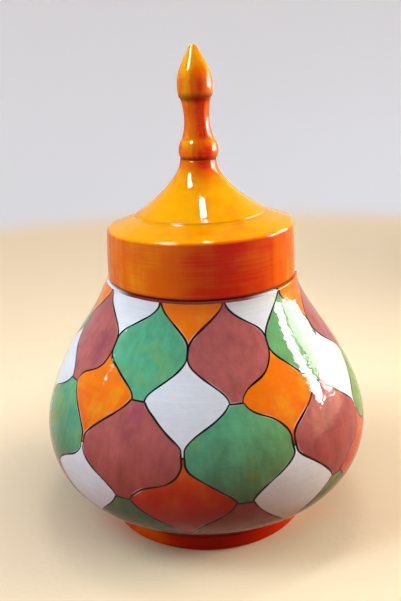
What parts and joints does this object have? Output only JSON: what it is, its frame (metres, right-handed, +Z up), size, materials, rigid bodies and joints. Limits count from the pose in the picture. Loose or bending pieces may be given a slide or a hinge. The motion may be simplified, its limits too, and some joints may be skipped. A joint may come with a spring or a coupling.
{
  "type": "lidded ceramic jar",
  "caption": "Round-bellied glazed jar on a low foot, with a painted ogee lattice and a lift-off lid that rises to a pointed spire and bulb grip.",
  "frame": {"origin": "centre of the foot ring's underside, on the surface that the jar stands on", "axes": "+Z up along the jar's axis, through the tip of the lid; X and Y lie in the table's plane, with -Y the side that faces the viewer"},
  "size_m": [0.16, 0.16, 0.2297],
  "materials": {
    "painted_glaze": "glossy clear glaze over hand-painted ogee cells in mauve, green, white and orange with black outlines",
    "orange_glaze": "glossy orange glaze with brush streaks, darker where it pools in grooves",
    "white_glaze": "glossy white glaze, rim wiped bare"
  },
  "bodies": {
    "jar": {"jar_bowl": "painted_glaze", "foot_ring": "orange_glaze", "neck_collar": "white_glaze"},
    "lid": {"lid_cap": "orange_glaze", "lid_spire": "orange_glaze", "finial_stem": "orange_glaze", "finial_bulb": "orange_glaze"}
  },
  "joints": [
    {"name": "lid_lift", "type": "slide", "parent": "jar", "child": "lid", "axis": [0, 0, 1], "range_m": [0, 0.12]}
  ]
}
